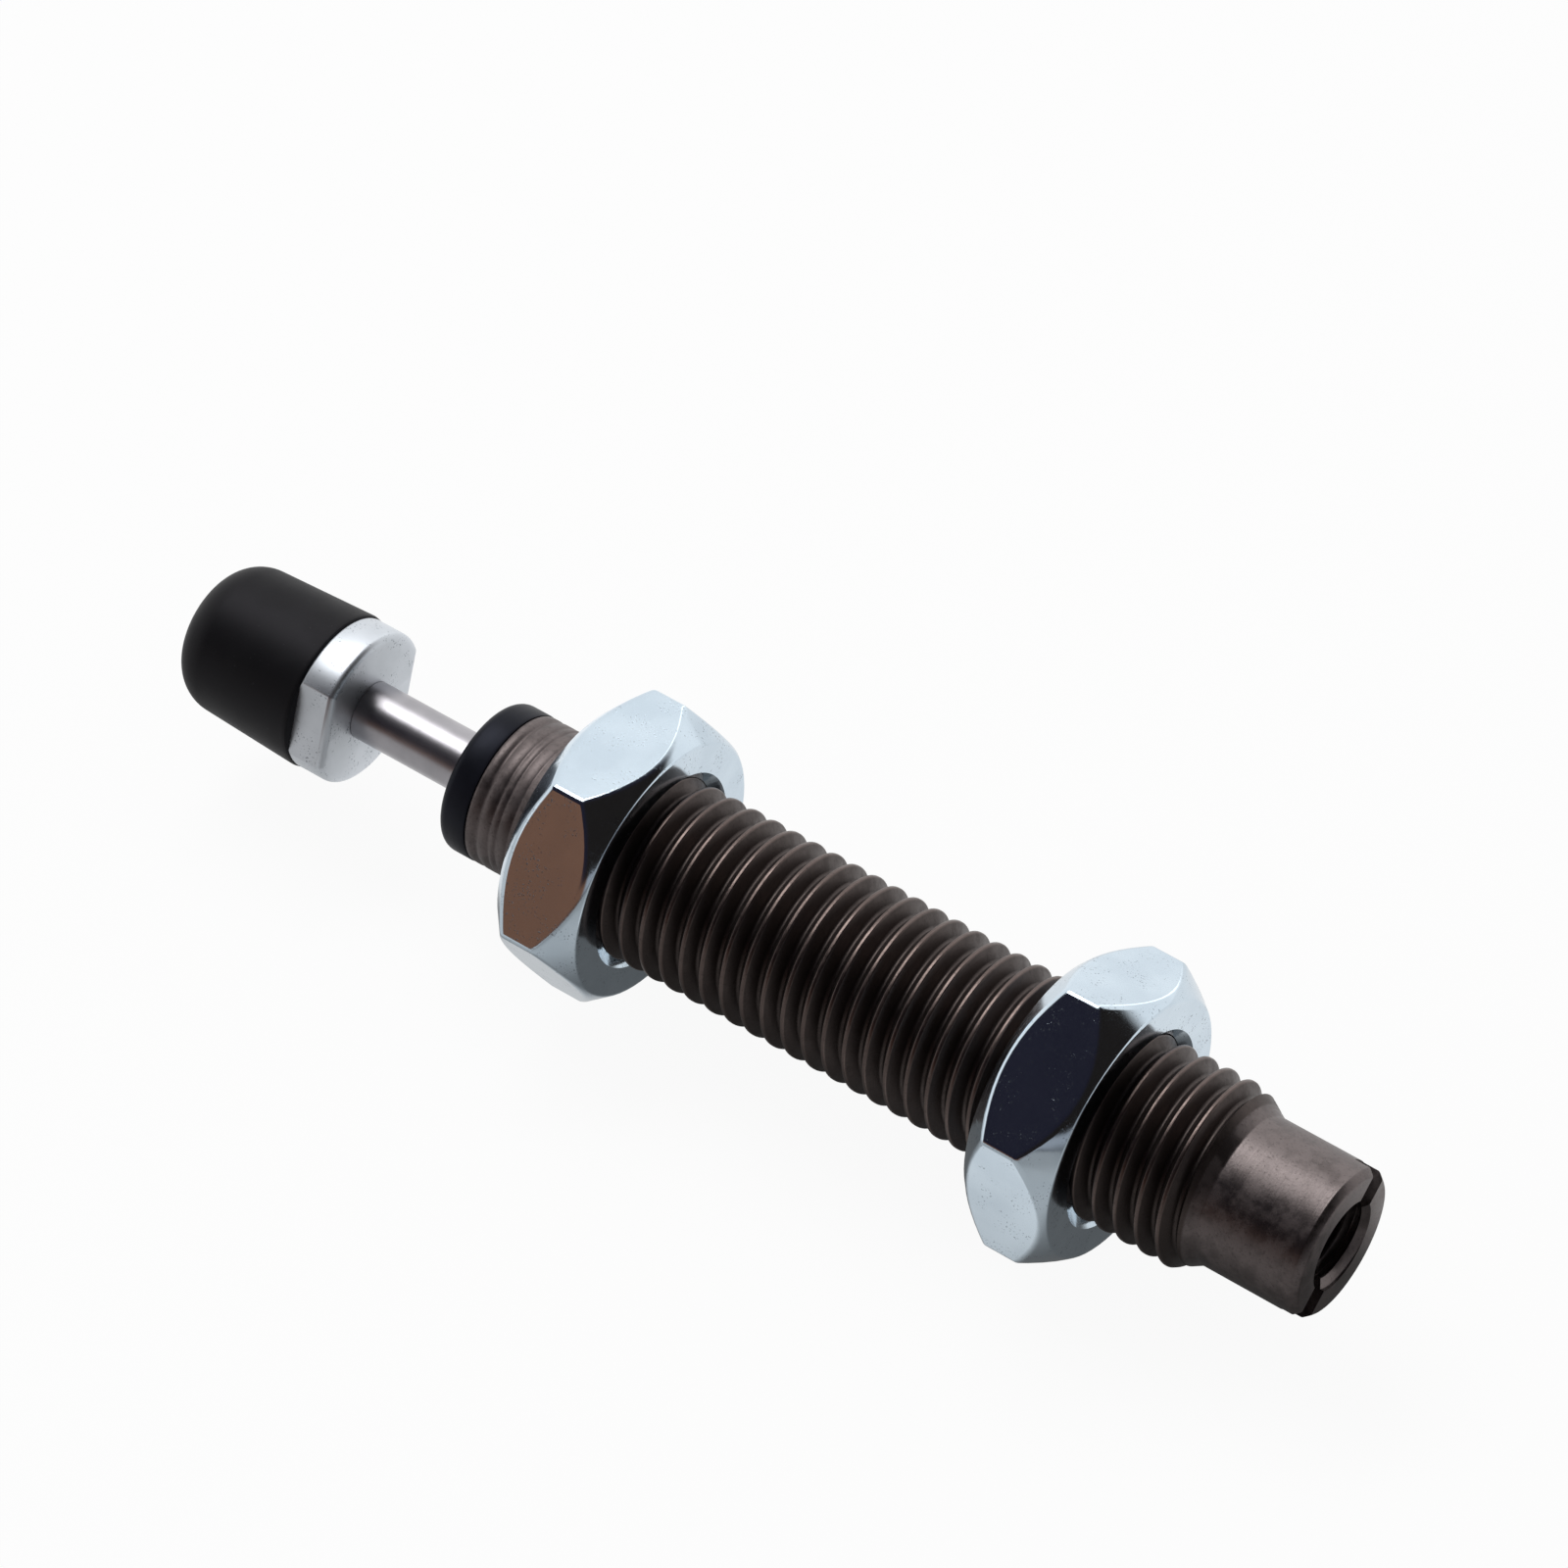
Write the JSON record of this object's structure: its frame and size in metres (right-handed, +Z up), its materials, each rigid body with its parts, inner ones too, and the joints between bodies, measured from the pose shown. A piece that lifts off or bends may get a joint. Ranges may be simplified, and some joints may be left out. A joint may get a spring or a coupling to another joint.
{
  "type": "industrial shock absorber",
  "caption": "Miniature hydraulic shock absorber: threaded steel body, sprung piston rod with a resilient bumper on a flatted head, slotted rear end and hexagon lock nuts.",
  "frame": {"origin": "centre of the rear end face of the body, on the axis of the body and rod", "axes": "+X along the axis towards the bumper, +Z up as the part lies on its nuts, +Y towards the side that the picture shows"},
  "size_m": [0.0564, 0.0136, 0.0136],
  "materials": {
    "burnished_steel": "dark burnished, satin",
    "black_oxide": "black, satin",
    "polyurethane_seal": "smooth",
    "nitrile": "smooth",
    "plain_steel": "rolled",
    "bearing_bronze": "machined",
    "cell_foam": "matt, porous",
    "tube_steel": "drawn",
    "spring_steel": "drawn wire",
    "ball_steel": "polished",
    "plug_steel": "black, fine thread",
    "hard_chrome": "ground and hard chromed",
    "zinc_plate": "bright zinc plate",
    "bumper_urethane": "matt moulded"
  },
  "bodies": {
    "body": {"barrel": "burnished_steel", "front_cap": "black_oxide", "rod_wiper": "polyurethane_seal", "rod_seal": "nitrile", "seal_washer": "plain_steel", "rod_bearing": "bearing_bronze", "bearing_o_ring": "nitrile", "accumulator_foam": "cell_foam", "pressure_tube": "tube_steel", "spring_seat": "plain_steel", "return_spring": "spring_steel", "port_ball": "ball_steel", "fill_plug": "plug_steel"},
    "rod": {"piston_rod": "hard_chrome", "piston": "plain_steel", "piston_ring": "bearing_bronze", "piston_nut": "plain_steel", "rod_head": "zinc_plate", "bumper_cap": "bumper_urethane"},
    "front_nut": {"front_lock_nut": "zinc_plate"},
    "rear_nut": {"rear_lock_nut": "zinc_plate"}
  },
  "joints": [
    {"name": "rod_stroke", "type": "slide", "parent": "body", "child": "rod", "axis": [-1, 0, 0], "range_m": [0, 0.006], "stiffness_N_per_m": 503, "springref_m": -0.0039, "deforming": ["return_spring"]},
    {"name": "front_nut_travel", "type": "slide", "parent": "body", "child": "front_nut", "axis": [1, 0, 0], "range_m": [-0.009, 0.002]},
    {"name": "rear_nut_travel", "type": "slide", "parent": "body", "child": "rear_nut", "axis": [1, 0, 0], "range_m": [-0.005, 0.009]}
  ]
}
